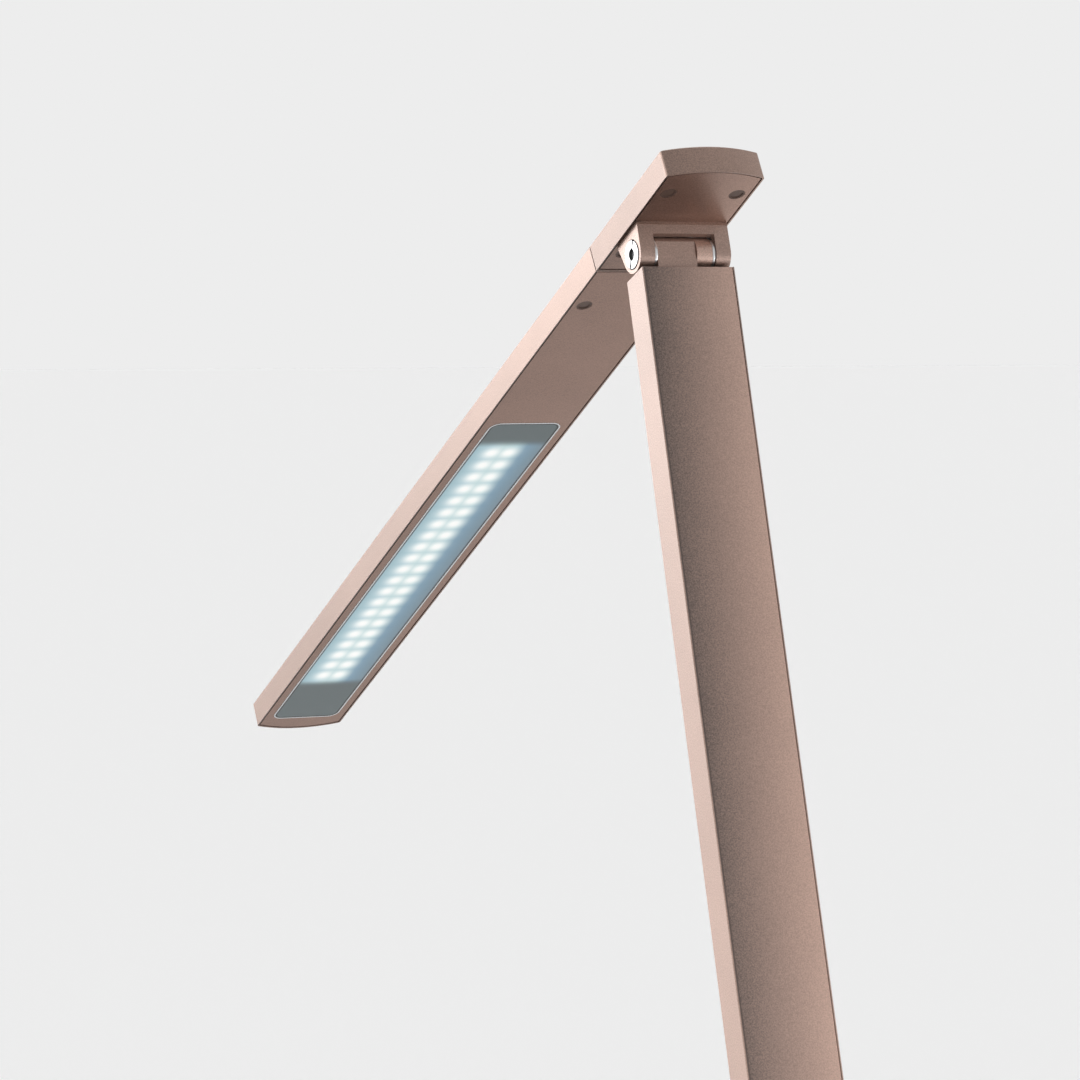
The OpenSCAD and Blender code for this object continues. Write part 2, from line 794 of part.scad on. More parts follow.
module lower_pin() color([0.85, 0.85, 0.87]) at_lower_pin() {
    hinge_pin(slot_turn);
}

module lower_spring_washers() color([0.7, 0.7, 0.72]) at_lower_pin() {
    spring_washers();
}

module lower_nut() color([0.8, 0.8, 0.82]) at_lower_pin() {
    lock_nut();
}

module base_fork() color([0.6, 0.46, 0.4]) {
    difference() {
        at_lower_pin() mirror([0, 0, 1])
            hinge_cheeks(lower_knuckle_d / 2, base_rise, lower_flare, fork_t);
        for (p = fork_points) post(p, base_h - eps, base_h + fork_t - 0.4, bolt_r + 0.02);
    }
}

module fork_bolts() color([0.7, 0.7, 0.7]) {
    for (p = fork_points)
        screw_up(p, floor_top + bolt_head_h + 0.4, bolt_head_r, bolt_head_h, bolt_r,
                 base_h + fork_t - 0.6 - floor_top - bolt_head_h - 0.4);
}

// Plan of the base, drawn in by a margin all round
module base_plan(margin) {
    end = bowed_end(base_half - margin, base_end - margin, base_bulge,
                    max(base_corner - margin, 2), 24);
    polygon(concat(end, [for (p = end) -p]));
}

module base_cover() color([0.62, 0.47, 0.41]) {
    difference() {
        union() {
            difference() {
                translate([0, 0, pad_t]) hull() {
                    linear_extrude(base_h - pad_t - base_bevel) base_plan(0);
                    linear_extrude(base_h - pad_t) base_plan(base_bevel);
                }
                translate([0, 0, pad_t - eps]) linear_extrude(base_roof - pad_t + eps)
                    base_plan(base_wall);
            }
            for (p = base_screw_points) post(p, floor_top, base_roof + eps, boss_r);
            for (p = fork_points) post(p, weight_top, base_roof + eps, boss_r);
        }
        for (p = base_screw_points) post(p, floor_top - eps, base_roof - 1, screw_r);
        for (p = fork_points) post(p, weight_top - eps, base_h + eps, bolt_r + seat);
        post([0, -button_y], base_roof - eps, base_h + eps, button_r + bezel_w);
        translate([0, rear_y + 2, socket_z]) rotate([90, 0, 0])
            cylinder(h = base_wall + 6, r = socket_nose_r + seat);
    }
}

module base_weight() color([0.35, 0.36, 0.38]) {
    difference() {
        block([-weight_half, -weight_end, floor_top], [weight_half, weight_end, weight_top]);
        for (p = fork_points) {
            post(p, floor_top - eps, weight_top + eps, bolt_r + seat);
            post(p, floor_top - eps, floor_top + bolt_head_h + 0.4, bolt_head_r + 0.3);
        }
        // Room for the power socket
        block([-9, weight_end - 8, floor_top - eps], [9, weight_end + 1, weight_top + eps]);
    }
}

module base_floor() color([0.2, 0.2, 0.2]) {
    difference() {
        translate([0, 0, pad_t]) linear_extrude(floor_t) base_plan(base_wall + 0.3);
        for (p = base_screw_points) {
            post(p, pad_t - eps, floor_top + eps, screw_r + seat);
            post(p, pad_t - eps, pad_t + 1, screw_head_r + 0.2);
        }
    }
}

module base_screws() color([0.6, 0.6, 0.6]) {
    for (p = base_screw_points)
        screw_up(p, pad_t + 1, screw_head_r, base_screw_head_h, screw_r - 0.02, base_screw_l);
}

module foot_pad() color([0.12, 0.12, 0.12]) {
    linear_extrude(pad_t) base_plan(pad_margin);
}

module power_button() color([0.85, 0.85, 0.86]) {
    r = button_r - run;
    top = base_h + button_rise - button_low;
    translate([0, -button_y, button_low]) rotate_extrude()
        polygon([[0, 0], [r + button_flange, 0], [r + button_flange, button_flange_t],
                 [r, button_flange_t], [r, top - 0.6], [r - 0.6, top], [r - 3, top - 0.3],
                 [0, top - 0.5]]);
}

module button_bezel() color([0.8, 0.8, 0.82]) {
    translate([0, -button_y, 0]) rotate_extrude()
        polygon([[button_r, base_roof], [button_r + bezel_w - 0.05, base_roof],
                 [button_r + bezel_w - 0.05, base_h], [button_r + bezel_w + bezel_lip, base_h],
                 [button_r + bezel_w + bezel_lip - 0.3, base_h + bezel_rise],
                 [button_r, base_h + bezel_rise]]);
}

module board_pad() color([0.3, 0.3, 0.3]) {
    block([-pcb_half, -button_y - pcb_end, weight_top], [pcb_half, -button_y + pcb_end, pcb_z]);
}

module control_board() color([0.1, 0.35, 0.2]) {
    block([-pcb_half, -button_y - pcb_end, pcb_z], [pcb_half, -button_y + pcb_end, pcb_z + pcb_t]);
}

module tact_switch() color([0.15, 0.15, 0.15]) {
    block([-3, -button_y - 3, pcb_z + pcb_t], [3, -button_y + 3, switch_top - 0.3]);
    post([0, -button_y], switch_top - 0.3 - eps, switch_top, 1.7);
}

module power_socket() color([0.15, 0.15, 0.15]) {
    inner = rear_y - base_wall;
    difference() {
        union() {
            block([-6, inner - 14, floor_top], [6, inner - 0.2, floor_top + 12]);
            translate([0, rear_y + socket_proud, socket_z]) rotate([90, 0, 0])
                cylinder(h = base_wall + socket_proud + 1, r = socket_nose_r);
        }
        translate([0, rear_y + socket_proud + eps, socket_z]) rotate([90, 0, 0])
            cylinder(h = socket_depth + eps, r = socket_r);
    }
}

head_housing();
head_cover();
lens_bezel();
lens_diffuser();
reflector_frame();
led_board();
led_chips();
heat_spreader();
shoulder_housing();
shoulder_cover();
spine_bar();
spine_screws();
head_screws();
shoulder_screws();
head_plugs();
shoulder_plugs();
bar_lead();
hinge_bracket();
bracket_screws();
upper_pin();
upper_spring_washers();
upper_nut();
upper_washers();
hinge_tongue();
friction_barrel();
tongue_screws();
stem_channel();
stem_back_panel();
stem_caps();
stem_lead();
stem_foot();
foot_screws();
lower_washers();
lower_pin();
lower_spring_washers();
lower_nut();
base_fork();
fork_bolts();
base_cover();
base_weight();
base_floor();
base_screws();
foot_pad();
power_button();
button_bezel();
board_pad();
control_board();
tact_switch();
power_socket();
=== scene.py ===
import json
from math import cos, pi, radians, sin

import bpy
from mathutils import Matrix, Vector


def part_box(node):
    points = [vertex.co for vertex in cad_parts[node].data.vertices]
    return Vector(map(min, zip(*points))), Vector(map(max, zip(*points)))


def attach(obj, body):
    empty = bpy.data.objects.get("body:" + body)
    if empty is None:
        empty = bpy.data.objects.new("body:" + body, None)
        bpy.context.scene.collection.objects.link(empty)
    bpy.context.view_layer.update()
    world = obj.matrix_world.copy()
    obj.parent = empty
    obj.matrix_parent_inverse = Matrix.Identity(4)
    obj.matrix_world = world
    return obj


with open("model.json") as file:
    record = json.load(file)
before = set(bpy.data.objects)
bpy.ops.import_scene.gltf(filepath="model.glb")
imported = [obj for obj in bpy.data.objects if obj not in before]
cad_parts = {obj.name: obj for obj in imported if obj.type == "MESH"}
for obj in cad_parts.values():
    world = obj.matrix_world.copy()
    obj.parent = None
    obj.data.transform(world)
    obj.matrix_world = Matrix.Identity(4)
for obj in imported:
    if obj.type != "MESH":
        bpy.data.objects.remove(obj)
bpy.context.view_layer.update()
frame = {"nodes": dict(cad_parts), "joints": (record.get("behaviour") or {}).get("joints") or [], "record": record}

# The camera
# It stands behind the lamp and to its +X side, level with the upper hinge, and sees the bar's
# underside because the bar slopes down and away. Its place was worked out from the photo's straight
# edges.
hinges = {joint["name"]: Vector(joint["pos_m"])
          for joint in frame["joints"] if joint["type"] == "hinge"}
upper_hinge = hinges["bar_tilt"]
lower_hinge = hinges["stem_tilt"]
camera_from_hinge = Vector((0.7131, 1.3698, -0.0264))
camera_look = Vector((-0.4320, -0.9004, -0.0506))
camera = bpy.data.objects.new("camera", bpy.data.cameras.new("camera"))
bpy.context.scene.collection.objects.link(camera)
bpy.context.scene.camera = camera
camera.data.sensor_width = 36
camera.data.lens = 140
camera.data.clip_start = 0.05
camera.data.clip_end = 100
camera.location = upper_hinge + camera_from_hinge
camera.rotation_mode = "QUATERNION"
camera.rotation_quaternion = camera_look.to_track_quat("-Z", "Y")
bpy.context.scene.view_settings.view_transform = "Standard"


# The studio
# An even pale world and a wide pale floor. Two broad lamps at the front light the narrow +X faces,
# one hangs above, and a softbox stands behind on the -X side. The camera and the metals see the room
# as light grey.
class Wire:
    """A shader socket in Python sums: each operator adds a Math node."""

    def __init__(self, finish, socket):
        self.finish = finish
        self.socket = socket

    def math(self, operation, *others):
        return self.finish.node("ShaderNodeMath", {"operation": operation}, (self, *others))

    def __add__(self, other):
        return self.math("ADD", other)

    def __sub__(self, other):
        return self.math("SUBTRACT", other)

    def __rsub__(self, other):
        return self.finish.node("ShaderNodeMath", {"operation": "SUBTRACT"}, (other, self))

    def __mul__(self, other):
        return self.math("MULTIPLY", other)

    def __truediv__(self, other):
        return self.math("DIVIDE", other)

    __radd__ = __add__
    __rmul__ = __mul__


class Finish:
    """The node tree of one material, or of the world."""

    def __init__(self, owner):
        owner.use_nodes = True
        self.owner = owner
        self.tree = owner.node_tree
        self.tree.nodes.clear()

    def node(self, kind, settings, values, out=0):
        """Adds a node, its settings first and then its values or wires, and returns one output."""
        made = self.tree.nodes.new(kind)
        for name, value in settings.items():
            if name == "stops":
                self.set_stops(made.color_ramp, value)
            else:
                setattr(made, name, value)
        places = values.items() if isinstance(values, dict) else enumerate(values)
        for place, value in places:
            if isinstance(value, Wire):
                self.tree.links.new(value.socket, made.inputs[place])
            else:
                made.inputs[place].default_value = value
        return Wire(self, made.outputs[out]) if made.outputs else None

    def set_stops(self, ramp, stops):
        while len(ramp.elements) < len(stops):
            ramp.elements.new(0.5)
        for element, (place, colour) in zip(ramp.elements, stops):
            element.position = place
            element.color = (*colour, 1)

    def seen(self):
        """1 for rays of the camera, of reflections and of clear bodies, and 0 for all others."""
        kinds = ("Is Camera Ray", "Is Glossy Ray", "Is Transmission Ray")
        direct, reflected, through = [self.node("ShaderNodeLightPath", {}, {}, out=kind)
                                      for kind in kinds]
        return direct + reflected + through


pale_grey = (0.847, 0.847, 0.847, 1)
ambient_level = 0.27
world = Finish(bpy.data.worlds.new("studio"))
bpy.context.scene.world = world.owner
walls = world.node("ShaderNodeBackground", {}, {"Color": pale_grey, "Strength": 1})
lighting = world.node("ShaderNodeBackground", {}, {"Color": (1, 1, 1, 1), "Strength": ambient_level})
backdrop = world.node("ShaderNodeMixShader", {}, (world.seen(), lighting, walls))
world.node("ShaderNodeOutputWorld", {}, (backdrop,))


def soft_sun(name, toward, strength, spread):
    """A lamp far away in one direction, as wide in the sky as spread, in degrees."""
    lamp = bpy.data.lights.new(name, "SUN")
    lamp.energy = strength
    lamp.angle = radians(spread)
    sun = bpy.data.objects.new(name, lamp)
    sun.rotation_mode = "QUATERNION"
    sun.rotation_quaternion = Vector(toward).to_track_quat("Z", "Y")
    bpy.context.scene.collection.objects.link(sun)


soft_sun("side_lamp", (0.45, -0.89, 0.07), 2.4, 50)
soft_sun("key_lamp", (0.85, -0.45, 0.30), 2.1, 50)
soft_sun("top_lamp", (-0.15, -0.45, 0.88), 1.0, 60)

softbox = bpy.data.lights.new("rear_softbox", "AREA")
softbox.shape = "RECTANGLE"
softbox.size = 0.30
softbox.size_y = 0.24
softbox.energy = 1.1
softbox.spread = radians(140)
softbox_place = bpy.data.objects.new("rear_softbox", softbox)
softbox_place.location = (-0.60, 0.45, 0.22)
softbox_place.rotation_mode = "QUATERNION"
softbox_place.rotation_quaternion = Vector((-0.60, 0.35, -0.50)).to_track_quat("Z", "Y")
softbox_place.visible_camera = False
bpy.context.scene.collection.objects.link(softbox_place)

floor_half = 40
lighting_grey = (0.70, 0.70, 0.70, 1)
seen_grey = (0.985, 0.985, 0.985, 1)
corners = [(x * floor_half, y * floor_half, 0) for x, y in ((-1, -1), (1, -1), (1, 1), (-1, 1))]
floor_mesh = bpy.data.meshes.new("floor")
floor_mesh.from_pydata(corners, [], [(0, 1, 2, 3)])
floor = bpy.data.objects.new("floor", floor_mesh)
bpy.context.scene.collection.objects.link(floor)
floor_paint = Finish(bpy.data.materials.new("studio_floor"))
floor_grey = floor_paint.node("ShaderNodeMix", {"data_type": "RGBA"},
                              {0: floor_paint.seen(), 6: lighting_grey, 7: seen_grey}, out=2)
matt = floor_paint.node("ShaderNodeBsdfDiffuse", {}, {"Color": floor_grey})
floor_paint.node("ShaderNodeOutputMaterial", {}, (matt,))
floor_mesh.materials.append(floor_paint.owner)


# Light bar housings
# Two die-cast aluminium shells with thin walls, sprayed in a satin rose bronze with a fine metallic
# flake. They butt together at the seam in front of the hinge, and a steel spine inside joins them.
mm = 0.001
bar_slope = radians(30.3)
bar_forward = Vector((0, -cos(bar_slope), -sin(bar_slope)))
bar_down = Vector((0, sin(bar_slope), -cos(bar_slope)))


class Surface(Finish):
    """A material of the lamp, with the patterns that its paints, metals and plastics share."""

    def __init__(self, name):
        super().__init__(bpy.data.materials.new(name))
        self.place = self.node("ShaderNodeTexCoord", {}, {}, out="Object")

    def along(self, direction, origin=(0, 0, 0)):
        """Distance in metres along a direction from an origin, in the lamp's own frame at rest."""
        direction = Vector(direction)
        reach = self.node("ShaderNodeVectorMath", {"operation": "DOT_PRODUCT"},
                          (self.place, direction), out="Value")
        return reach - direction.dot(Vector(origin))

    def noise(self, size, detail=2, stretch=(1, 1, 1)):
        """Cloudy noise whose lumps are about size metres across, drawn out by the stretch."""
        shrink = [1 / amount for amount in stretch]
        place = self.node("ShaderNodeVectorMath", {"operation": "MULTIPLY"}, (self.place, shrink))
        return self.node("ShaderNodeTexNoise", {}, {"Vector": place, "Scale": 1 / size, "Detail": detail})

    def spread(self, value, low, high):
        """Value stretched so that low to high becomes 0 to 1, and held there."""
        return self.node("ShaderNodeMapRange", {}, (value, low, high))

    def between(self, factor, first, second):
        """A colour that goes from first to second as factor goes from 0 to 1."""
        return self.node("ShaderNodeMix", {"data_type": "RGBA"}, {0: factor, 6: first, 7: second}, out=2)

    def toned(self, colour, tone):
        """A colour made lighter or darker by a wire."""
        return self.node("ShaderNodeVectorMath", {"operation": "SCALE"}, {0: colour, "Scale": tone})

    def bump(self, height, depth):
        return self.node("ShaderNodeBump", {}, {"Strength": 1, "Distance": depth, "Height": height})

    def made(self, values):
        """Finishes the material with one shader that takes these values."""
        shader = self.node("ShaderNodeBsdfPrincipled", {}, values)
        self.node("ShaderNodeOutputMaterial", {}, (shader,))
        return self.owner


def satin_rose(name, colour, rough=0.32, coat=0.9, painted_side_shade=0.0, metal=0.50, painted_shade_strip=None, painted_low_light=0.0,
               shine=0.5):
    """Rose-bronze lacquer: fine flakes that catch the light, over a faintly uneven ground.

    Coat is the weight of the clear lacquer on top. Metal is how much the ground shines like the metal
    below it, and shine how glossy the rest is. The tone may carry painted shade, by this share darker
    where the stem's +X edge lies, and painted light, by a share per metre lighter down from the upper
    hinge. A painted shade strip is a narrow strip beside a +X edge, painted dark for the shadow in the
    groove there: the edge, the strip's width, the way its face looks and the level of that face.
    """
    ground_tone = 0.76
    flake_gain = 0.40
    cloud_gain = 0.08
    side_shade_reach = 19 * mm
    paint = Surface(name)
    flakes = paint.spread(paint.noise(0.5 * mm, 1), 0.3, 0.7)
    cloud = paint.spread(paint.noise(40 * mm), 0.35, 0.65)
    aside = paint.along((1, 0, 0))
    # Painted shade: the tone is darker toward +X by the given share.
    tone = ground_tone + flake_gain * flakes + cloud_gain * cloud - painted_side_shade / side_shade_reach * aside
    # Painted light: the tone grows lighter by the given share per metre down from the upper hinge.
    if painted_low_light:
        even_level = 170 * mm
        tone = tone + painted_low_light * (paint.along((0, 0, -1), upper_hinge) - even_level)
    # Painted shade: a dark strip beside a +X edge for the shadow in the groove or joint there.
    if painted_shade_strip:
        edge, width, way, level = painted_shade_strip
        strip_shade_loss = 0.75
        fade = 0.1 * mm
        lit_corner = 0.10 * mm
        corner_fade = 0.08 * mm
        beside = paint.spread(aside, edge - width, edge - width + fade)
        on_face = paint.spread(paint.along(way, upper_hinge), level - 2 * fade, level - fade)
        before_edge = paint.spread(edge - aside, lit_corner, lit_corner + corner_fade)
        tone = tone * (1 - strip_shade_loss * beside * on_face * before_edge)
    return paint.made({
        "Base Color": paint.toned(colour, tone),
        "Metallic": metal,
        "Roughness": rough + 0.10 * flakes,
        "Specular IOR Level": shine,
        "Coat Weight": coat,
        "Coat Roughness": 0.48,
        "Normal": paint.bump(flakes, 0.01 * mm),
    })


def dress(nodes, material, edge=0.0):
    """Gives CAD nodes their material, and breaks their sharp edges by a width in metres."""
    same_point = 0.001 * mm
    sharp_from = radians(35)
    for name in nodes:
        piece = frame["nodes"][name]
        for slot in piece.material_slots:
            slot.material = material
        if edge:
            weld = piece.modifiers.new("weld", "WELD")
            weld.merge_threshold = same_point
            rounding = piece.modifiers.new("edge", "BEVEL")
            rounding.width = edge
            rounding.segments = 2
            rounding.limit_method = "ANGLE"
            rounding.angle_limit = sharp_from
            piece.modifiers.new("even_faces", "WEIGHTED_NORMAL").keep_sharp = True


# The housings' rose is the stem's rose made darker as painted shade, to match the bar's brightly lit sides. Each
# shell carries a painted shade strip beside its +X bottom edge, and the shoulder is painted darker toward +X as
# painted shade.
housing_rose_shaded = (0.300, 0.196, 0.155)
bar_edge = 20 * mm
bar_shade_width = 0.65 * mm
bar_shade_level = -8.7 * mm
bar_shade_strip = (bar_edge, bar_shade_width, bar_down, bar_shade_level)
head_rose = satin_rose("head_rose", housing_rose_shaded, coat=0.45, painted_shade_strip=bar_shade_strip)
shoulder_rose = satin_rose("shoulder_rose", housing_rose_shaded, coat=0.45, painted_side_shade=0.22, painted_shade_strip=bar_shade_strip)
dress(("head_housing",), head_rose, 0.18 * mm)
dress(("shoulder_housing",), shoulder_rose, 0.18 * mm)

# Bottom covers
# Flat extruded aluminium plates, rose anodised and more metallic than the lacquer, set a little way
# inside the housing rims with a dark groove between, and held by screws under plugs.
# The plates' rose is the lacquer's rose made darker as painted shade, against the pale room that the plates
# reflect, and both plates are painted darker toward +X as painted shade, the shoulder's the more.
plate_rose_shaded = (0.304, 0.196, 0.156)
dress(("head_cover",), satin_rose("head_plate", plate_rose_shaded, 0.36, 0.1, 0.05, 0.9), 0.12 * mm)
dress(("shoulder_cover",), satin_rose("shoulder_plate", plate_rose_shaded, 0.28, 0.1, 0.28, 0.9), 0.12 * mm)

# Lens and its LEDs
# A frosted acrylic strip over two columns of cool white LEDs. They show through it as soft round
# spots, a little toward +X of its middle, in a pale teal glow that is stronger on that side. Both
# ends of the strip stay unlit, and its edge is darkened by painted shade.
lens_half = 15 * mm
lens_start = 143 * mm
lens_end = 411.5 * mm
lens_corner = 4 * mm
dark_edge = 0.55 * mm
clear_from = 0.95 * mm
edge_shade = 0.15
edge_glow = 0.2
first_row = 166.8 * mm
row_pitch = 10.1 * mm
last_row = 20
column = 3.7 * mm
column_middle = 2.4 * mm
spot_across = 2.6 * mm
spot_along = 2.9 * mm
glow_even = 4.4 * mm
glow_fade = 2.3 * mm
unlit_tint = (0.120, 0.158, 0.166)
spot_white = (0.86, 0.84, 0.81, 1)
glow_stops = (
    (0.00, (0.067, 0.103, 0.137)),
    (0.25, (0.075, 0.170, 0.255)),
    (0.40, (0.273, 0.429, 0.467)),
    (0.60, (0.359, 0.499, 0.511)),
    (0.75, (0.289, 0.442, 0.496)),
    (1.00, (0.196, 0.313, 0.360)),
)
lens = Surface("frosted_lens")
rows_on = (lens.along(bar_forward, upper_hinge) - first_row) / row_pitch
nearest_row = rows_on.math("ROUND").math("MAXIMUM", 0).math("MINIMUM", last_row)
off_row = (rows_on - nearest_row) * row_pitch
across = lens.along((1, 0, 0))
off_column = (across - column_middle).math("ABSOLUTE") - column


def bell(distance, width):
    """A soft bump, 1 where distance is 0, that falls off over width."""
    share = distance / width
    return (share * share * -0.5).math("EXPONENT")


spots = bell(off_column, spot_across) * bell(off_row, spot_along)
glow = bell((off_row.math("ABSOLUTE") - glow_even).math("MAXIMUM", 0), glow_fade)
tint = lens.node("ShaderNodeValToRGB", {"stops": glow_stops}, (across / (2 * lens_half) + 0.5,))
halo = lens.between(glow, (0, 0, 0, 1), tint)
past_side = (across.math("ABSOLUTE") - (lens_half - lens_corner)).math("MAXIMUM", 0)
from_middle = (lens.along(bar_forward, upper_hinge) - (lens_start + lens_end) / 2).math("ABSOLUTE")
past_end = (from_middle - ((lens_end - lens_start) / 2 - lens_corner)).math("MAXIMUM", 0)
from_corner = (past_side * past_side + past_end * past_end).math("SQRT")
inside = lens.spread(lens_corner - from_corner, dark_edge, clear_from)
frost = lens.noise(0.6 * mm)
# Painted shade: the lens's colour darkens toward its edge by edge_shade.
shade = (0.9 + 0.2 * frost) * (edge_shade + (1 - edge_shade) * inside)
dress(("lens_diffuser",), lens.made({
    "Base Color": lens.toned(unlit_tint, shade),
    "Roughness": 0.30 + 0.10 * frost,
    "Emission Color": lens.toned(lens.between(spots, halo, spot_white),
                                 edge_glow + (1 - edge_glow) * inside),
    "Emission Strength": 1,
    "Normal": lens.bump(frost, 0.002 * mm),
}))


# Lens rim
# A thin frame of polished aluminium, set in the opening of the head's cover, where it shows as a
# bright line round the lens.
def bright_metal(name, colour, rough, lay=(1, 1, 1), grain=0.3 * mm, depth=0.001 * mm):
    """Bare metal with fine tool marks, drawn out along the way it was worked."""
    metal = Surface(name)
    marks = metal.noise(grain, 3, lay)
    return metal.made({
        "Base Color": metal.toned(colour, 0.9 + 0.2 * marks),
        "Metallic": 1,
        "Roughness": rough + 0.12 * marks,
        "Normal": metal.bump(marks, depth),
    })


polished = bright_metal("polished_rim", (0.62, 0.63, 0.64), 0.20, (1, 12, 8))
dress(("lens_bezel",), polished, 0.08 * mm)


# Light engine
# Behind the lens a white moulded frame keeps the light in, and the LED board lies against an
# aluminium spreader that carries its heat into the housing.
def moulded(name, colour, rough=0.5, grain=0.4 * mm, depth=0.004 * mm):
    """Moulded plastic or rubber with the fine grain of its mould."""
    plastic = Surface(name)
    skin = plastic.noise(grain, 3)
    return plastic.made({
        "Base Color": plastic.toned(colour, 0.88 + 0.24 * skin),
        "Roughness": rough + 0.14 * skin,
        "Normal": plastic.bump(skin, depth),
    })


dress(("reflector_frame",), moulded("white_frame", (0.80, 0.80, 0.78)))


def printed_board(name, mask, copper):
    """Solder mask over straight copper tracks that show as slightly raised bands."""
    board = Surface(name)
    track_pitch = 2.4 * mm
    wave = (board.along((1, 0, 0)) / track_pitch).math("FRACT")
    tracks = board.spread((wave - 0.5).math("ABSOLUTE"), 0.30, 0.34)
    breaks = board.spread(board.noise(6 * mm, 1), 0.45, 0.5)
    laid = tracks * breaks
    return board.made({
        "Base Color": board.between(laid, (*mask, 1), (*copper, 1)),
        "Roughness": 0.35 + 0.15 * laid,
        "Normal": board.bump(laid, 0.02 * mm),
    })


dress(("led_board",), printed_board("led_board_mask", (0.80, 0.80, 0.77), (0.70, 0.69, 0.62)))
phosphor = Surface("led_phosphor")
phosphor_half = 1.0 * mm
dots = bell(phosphor.along((1, 0, 0)).math("ABSOLUTE") - column, phosphor_half)
dress(("led_chips",), phosphor.made({
    "Base Color": phosphor.between(dots, (0.85, 0.85, 0.82, 1), (0.85, 0.68, 0.16, 1)),
    "Roughness": 0.4 + 0.1 * dots,
}))
dress(("heat_spreader",), bright_metal("rolled_aluminium", (0.72, 0.73, 0.74), 0.30, (1, 20, 12)))

# Screws and plugs of the bar
# Plugs with a raised rim, in a darker brown lacquer, are pressed over the cover screws, which are
# zinc-plated steel.
dress(("head_plugs", "shoulder_plugs"), satin_rose("plug", (0.106, 0.064, 0.048), 0.40, 0.1), 0.08 * mm)
zinc = bright_metal("zinc_screw", (0.62, 0.63, 0.64), 0.28, depth=0.002 * mm)
dress(("head_screws", "shoulder_screws", "spine_screws", "bracket_screws", "tongue_screws",
       "foot_screws", "fork_bolts", "base_screws"), zinc)

# Spine and leads
# A rolled steel strip ties the two housings together. A flat lead in the bar and a round lead in the
# stem carry the supply, both with a soft black jacket.
dress(("spine_bar",), bright_metal("rolled_steel", (0.50, 0.51, 0.53), 0.34, (1, 16, 10)))
dress(("bar_lead", "stem_lead"), moulded("lead_jacket", (0.03, 0.03, 0.032), 0.45))

# Upper hinge bracket
# A die-cast fork in rose lacquer, screwed up into the spine through the shoulder cover. A lip behind
# closes the gap over the tongue.
cast_rose = satin_rose("rose_casting", (0.345, 0.225, 0.180), 0.28)
dress(("hinge_bracket",), cast_rose, 0.25 * mm)


# Hinge pins, washers and nuts
# Turned steel pins with bright nickel, their slotted heads let into the ear, and dished washers
# under a hexagon nut on the far side. The heads keep the rings of the lathe.
def lathe_rings(metal, ways, middle, pitch):
    """Fine rings round an axis, from 0 to 1. The ways are two directions across that axis."""
    first, second = [metal.along(way, middle) for way in ways]
    radius = (first * first + second * second).math("SQRT")
    return (radius / pitch * (2 * pi)).math("SINE") * 0.5 + 0.5


def turned_metal(name, colour, rough, middle, face):
    """Bright metal with rings about an axis along X, dull and in painted shade below its face."""
    metal = Surface(name)
    rings = lathe_rings(metal, ((0, 0, 1), (0, 1, 0)), middle, 0.35 * mm)
    marks = metal.noise(0.5 * mm)
    # Painted shade: the slot and the sides below the face are darkened.
    sunk_shade = metal.spread(face - metal.along((1, 0, 0)), 0.03 * mm, 0.14 * mm)
    return metal.made({
        "Base Color": metal.toned(colour, (0.88 + 0.10 * rings) * (1 - 0.88 * sunk_shade)),
        "Metallic": 1,
        "Roughness": rough + 0.06 * rings + 0.06 * marks + 0.30 * sunk_shade,
        "Normal": metal.bump(rings, 0.002 * mm),
    })


nickel = (0.80, 0.80, 0.81)
for pin, pin_place in (("upper_pin", upper_hinge), ("lower_pin", lower_hinge)):
    pin_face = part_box(pin)[1][0]
    dress((pin,), turned_metal(pin + "_nickel", nickel, 0.22, pin_place, pin_face), 0.10 * mm)
spring_steel = bright_metal("spring_steel", (0.60, 0.61, 0.62), 0.26)
dress(("upper_washers", "lower_washers"), spring_steel, 0.10 * mm)
dress(("upper_spring_washers", "lower_spring_washers", "upper_nut", "lower_nut"), spring_steel,
      0.06 * mm)

# Tongue and friction barrel
# The tongue is a flat casting on the stem, bored for the pin and lacquered like the bracket. The
# barrel beside it is a sleeve for the friction plates, in a lighter rose lacquer.
dress(("hinge_tongue",), cast_rose, 0.15 * mm)
dress(("friction_barrel",), satin_rose("rose_barrel", (0.50, 0.33, 0.265), 0.34), 0.15 * mm)

# Stem
# A slim extruded aluminium channel in rose lacquer. Its open rear is closed by a flat panel that lies
# in a rebate, and black moulded blocks close the two ends beside the hinge castings.
rose = (0.366, 0.240, 0.192)
stem_lean = radians(16.1)
stem_back = (0, cos(stem_lean), sin(stem_lean))
stem_edge = 19 * mm
stem_shade_width = 0.85 * mm
stem_shade_level = 7.6 * mm
stem_shade_strip = (stem_edge, stem_shade_width, stem_back, stem_shade_level)
# Painted shade and light: the channel has a dark strip beside its +X rear edge for the shadow in the joint with
# the panel, and grows lighter further down; the panel is painted darker toward +X and lighter further down.
dress(("stem_channel",), satin_rose("rose_channel", rose, painted_shade_strip=stem_shade_strip, painted_low_light=1.8), 0.15 * mm)
dress(("stem_back_panel",), satin_rose("rose_panel", rose, painted_side_shade=0.60, painted_low_light=0.8), 0.10 * mm)
dress(("stem_caps",), moulded("end_block", (0.030, 0.024, 0.022), 0.55), 0.10 * mm)

# Foot and fork
# The foot casting runs up into the stem and turns between the ears of a fork that four bolts hold
# on the base. Both are lacquered castings.
dress(("stem_foot", "base_fork"), cast_rose, 0.25 * mm)

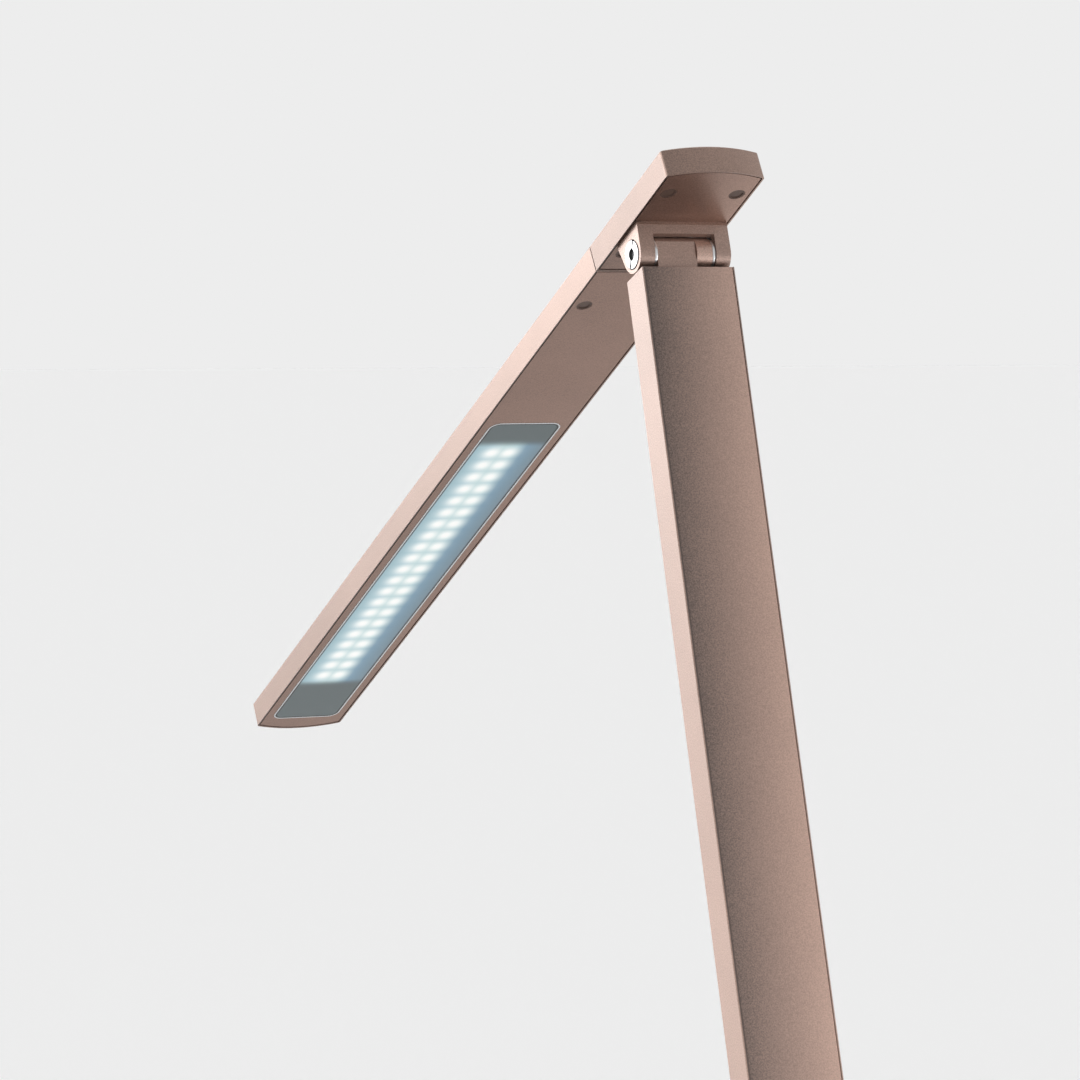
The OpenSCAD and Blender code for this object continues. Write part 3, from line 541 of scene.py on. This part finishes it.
# Base
# A pressed cover in a duller rose lacquer over a rolled steel weight, closed from below by a black
# plastic floor, with a soft non-slip pad under it.
dress(("base_cover",), satin_rose("rose_base", rose, 0.55, 0, metal=0.10, shine=0.15), 0.20 * mm)
dress(("base_weight",), bright_metal("weight_steel", (0.30, 0.31, 0.32), 0.45, grain=1.5 * mm))
dress(("base_floor",), moulded("black_floor", (0.035, 0.035, 0.036), 0.50), 0.15 * mm)
dress(("foot_pad",), moulded("soft_pad", (0.040, 0.040, 0.041), 0.75, 0.8 * mm, 0.03 * mm), 0.20 * mm)

# Power button and its board
# A turned metal button in a bright ring stands over a small switch on a green board, which lies on a
# soft pad on top of the base's weight.
button_low, button_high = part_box("power_button")
button_middle = (button_low + button_high) / 2


def spun_metal(name, colour, rough, middle):
    """Bright metal with the rings of a lathe about an upright axis."""
    metal = Surface(name)
    rings = lathe_rings(metal, ((1, 0, 0), (0, 1, 0)), middle, 0.30 * mm)
    return metal.made({
        "Base Color": metal.toned(colour, 0.92 + 0.10 * rings),
        "Metallic": 1,
        "Roughness": rough + 0.08 * rings,
        "Normal": metal.bump(rings, 0.002 * mm),
    })


dress(("power_button",), spun_metal("button_metal", nickel, 0.24, button_middle), 0.10 * mm)
dress(("button_bezel",), spun_metal("bezel_metal", (0.72, 0.60, 0.54), 0.18, button_middle), 0.08 * mm)
dress(("board_pad",), moulded("board_pad", (0.10, 0.10, 0.10), 0.80))
green_mask = (0.012, 0.085, 0.035)
green_copper = (0.05, 0.20, 0.07)
dress(("control_board",), printed_board("control_board_mask", green_mask, green_copper))
dress(("tact_switch",), moulded("switch_body", (0.03, 0.03, 0.03), 0.40))

# Power socket
# A black moulded barrel socket that stands on the base's floor and looks out through the rear wall.
# A round nickel contact pin is fixed in its middle.
dress(("power_socket",), moulded("socket_body", (0.028, 0.028, 0.030), 0.42), 0.10 * mm)
socket_mouth = next(mount for mount in frame["record"]["mounts"] if mount["name"] == "power_socket")
contact_steps = 32
contact_profile = (
    (1.05 * mm, -11.3 * mm),
    (1.05 * mm, -2.6 * mm),
    (0.98 * mm, -2.1 * mm),
    (0.75 * mm, -1.75 * mm),
    (0.40 * mm, -1.6 * mm),
)
points = []
faces = []
for radius, distance in contact_profile:
    for step in range(contact_steps):
        turn = 2 * pi * step / contact_steps
        points.append((radius * cos(turn), radius * sin(turn), distance))
for ring in range(len(contact_profile) - 1):
    for step in range(contact_steps):
        after = (step + 1) % contact_steps
        low = ring * contact_steps
        high = low + contact_steps
        faces.append((low + step, low + after, high + after, high + step))
faces.append(tuple(reversed(range(contact_steps))))
faces.append(tuple(range(len(points) - contact_steps, len(points))))
contact_mesh = bpy.data.meshes.new("contact_pin")
contact_mesh.from_pydata(points, [], faces)
on_side = [len(face.vertices) == 4 for face in contact_mesh.polygons]
contact_mesh.polygons.foreach_set("use_smooth", on_side)
to_mouth = Vector(socket_mouth["axis"]).to_track_quat("Z", "Y").to_matrix().to_4x4()
to_mouth.translation = socket_mouth["pos_m"]
contact_mesh.transform(to_mouth)
contact_mesh.materials.append(bright_metal("contact_nickel", (0.72, 0.72, 0.70), 0.22, (6, 1, 6)))
contact_pin = bpy.data.objects.new("contact_pin", contact_mesh)
bpy.context.scene.collection.objects.link(contact_pin)
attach(contact_pin, "base")
